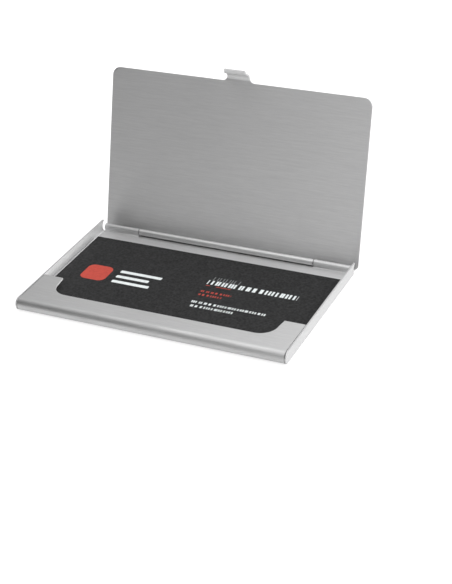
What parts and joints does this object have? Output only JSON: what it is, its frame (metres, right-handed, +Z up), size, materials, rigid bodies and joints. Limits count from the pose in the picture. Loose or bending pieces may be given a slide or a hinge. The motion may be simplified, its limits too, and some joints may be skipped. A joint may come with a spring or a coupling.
{
  "type": "business card case",
  "caption": "Flat aluminium business card case with a hinged lid, a clasp tab and loose cards, shown open.",
  "frame": {"origin": "Centre of the flat underside of the base shell, midway between the rolled front edge and the ears at the hinge.", "axes": "+X across the case to the right as seen from the front, +Y back from the clasp edge to the hinge, +Z up out of the underside."},
  "size_m": [0.094, 0.0768, 0.0598],
  "materials": {
    "case_aluminium": "satin anodised",
    "lid_aluminium": "satin anodised, finely brushed",
    "pin_steel": "drawn wire",
    "card_stock": "matt printed card"
  },
  "bodies": {
    "base": {"base_shell": "case_aluminium", "hinge_pin": "pin_steel"},
    "lid": {"lid": "lid_aluminium"},
    "bottom_card": {"card_bottom": "card_stock"},
    "second_card": {"card_second": "card_stock"},
    "third_card": {"card_third": "card_stock"},
    "top_card": {"card_top": "card_stock"}
  },
  "joints": [
    {"name": "lid_hinge", "type": "hinge", "parent": "base", "child": "lid", "pos_m": [0, 0.0293, 0.00175], "axis": [1, 0, 0], "range_deg": [0, 105.8]},
    {"name": "bottom_card_slide", "type": "slide", "parent": "base", "child": "bottom_card", "axis": [0, 1, 0], "range_m": [0, 0.0049]},
    {"name": "second_card_slide", "type": "slide", "parent": "base", "child": "second_card", "axis": [0, 1, 0], "range_m": [0, 0.0056]},
    {"name": "third_card_slide", "type": "slide", "parent": "base", "child": "third_card", "axis": [0, 1, 0], "range_m": [0, 0.006]},
    {"name": "top_card_slide", "type": "slide", "parent": "base", "child": "top_card", "axis": [0, 1, 0], "range_m": [0, 0.0062]}
  ]
}
